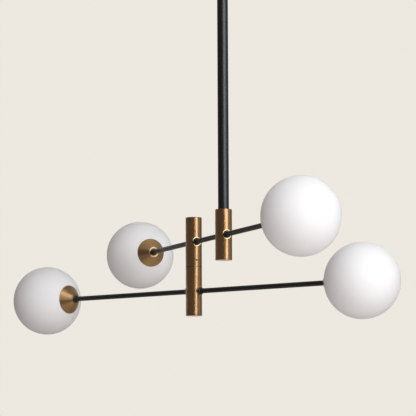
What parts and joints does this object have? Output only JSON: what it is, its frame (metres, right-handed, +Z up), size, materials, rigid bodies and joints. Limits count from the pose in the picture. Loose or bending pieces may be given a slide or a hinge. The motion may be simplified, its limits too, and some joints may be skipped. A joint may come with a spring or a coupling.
{
  "type": "branch chandelier",
  "caption": "Ceiling pendant with a straight stem, a hub and a swivel post that carry crossed level arms, each ending in an opal glass globe in a conical cup.",
  "frame": {"origin": "on the stem's axis, in the ceiling plane, between the two ceiling screw slots", "axes": "+Z up into the ceiling, +X along the upper arm from the stem towards the front globe"},
  "size_m": [1.0765, 0.549, 1.0395],
  "materials": {
    "black_powder_coat": "satin black powder coat",
    "antique_brass": "brushed antique bronze-brass",
    "polished_brass": "bright turned brass",
    "turned_brass": "plain turned brass",
    "zinc_steel": "zinc plated",
    "black_steel": "blackened",
    "opal_glass": "glossy opal white",
    "white_ceramic": "unglazed white",
    "frosted_bulb": "frosted",
    "cable_sheath": "matt black sheath",
    "block_plastic": "natural"
  },
  "bodies": {
    "stem": {"ceiling_bracket": "zinc_steel", "canopy": "black_powder_coat", "canopy_screws": "black_powder_coat", "canopy_nut": "zinc_steel", "canopy_nipple": "zinc_steel", "terminal_block": "block_plastic", "supply_cable": "cable_sheath", "stem_top_plug": "turned_brass", "upper_stem": "black_powder_coat", "stem_coupler": "turned_brass", "lower_stem": "black_powder_coat", "stem_foot": "turned_brass", "stem_lock_nut": "zinc_steel"},
    "upper_arm": {"hub_shell": "antique_brass", "hub_swivel_plate": "turned_brass", "hub_core": "turned_brass", "hub_end_cap": "antique_brass", "middle_arm": "black_powder_coat", "upper_front_arm": "black_powder_coat", "upper_back_arm": "black_powder_coat", "post_upper_shell": "antique_brass", "post_top_cap": "antique_brass", "post_upper_core": "turned_brass", "swivel_grub_screw": "black_steel", "upper_arm_collars": "black_powder_coat", "upper_seat_rings": "polished_brass", "upper_cup_nuts": "zinc_steel", "upper_wiring": "cable_sheath", "cup_front": "antique_brass", "lampholder_front": "white_ceramic", "bulb_front": "frosted_bulb", "cup_back": "antique_brass", "lampholder_back": "white_ceramic", "bulb_back": "frosted_bulb"},
    "lower_arm": {"swivel_spigot": "turned_brass", "post_lower_shell": "antique_brass", "post_bottom_cap": "antique_brass", "post_lower_core": "turned_brass", "lower_left_arm": "black_powder_coat", "lower_right_arm": "black_powder_coat", "lower_arm_collars": "black_powder_coat", "lower_seat_rings": "polished_brass", "lower_cup_nuts": "zinc_steel", "lower_wiring": "cable_sheath", "cup_left": "antique_brass", "lampholder_left": "white_ceramic", "bulb_left": "frosted_bulb", "cup_right": "antique_brass", "lampholder_right": "white_ceramic", "bulb_right": "frosted_bulb"},
    "globe_front": {"globe_front": "opal_glass", "neck_ring_front": "turned_brass"},
    "globe_back": {"globe_back": "opal_glass", "neck_ring_back": "turned_brass"},
    "globe_left": {"globe_left": "opal_glass", "neck_ring_left": "turned_brass"},
    "globe_right": {"globe_right": "opal_glass", "neck_ring_right": "turned_brass"}
  },
  "joints": [
    {"name": "hub_swivel", "type": "hinge", "parent": "stem", "child": "upper_arm", "pos_m": [0, 0, -0.8615], "axis": [0, 0, 1], "range_deg": [-170, 170]},
    {"name": "post_swivel", "type": "hinge", "parent": "upper_arm", "child": "lower_arm", "pos_m": [-0.165, 0, -0.913], "axis": [0, 0, 1], "range_deg": [-11, 136]},
    {"name": "globe_front_removal", "type": "slide", "parent": "upper_arm", "child": "globe_front", "axis": [1, 0, 0], "range_m": [0, 0.09]},
    {"name": "globe_back_removal", "type": "slide", "parent": "upper_arm", "child": "globe_back", "axis": [-1, 0, 0], "range_m": [0, 0.09]},
    {"name": "globe_left_removal", "type": "slide", "parent": "lower_arm", "child": "globe_left", "axis": [-0.8886, -0.4587, 0], "range_m": [0, 0.09]},
    {"name": "globe_right_removal", "type": "slide", "parent": "lower_arm", "child": "globe_right", "axis": [0.8886, 0.4587, 0], "range_m": [0, 0.09]}
  ]
}
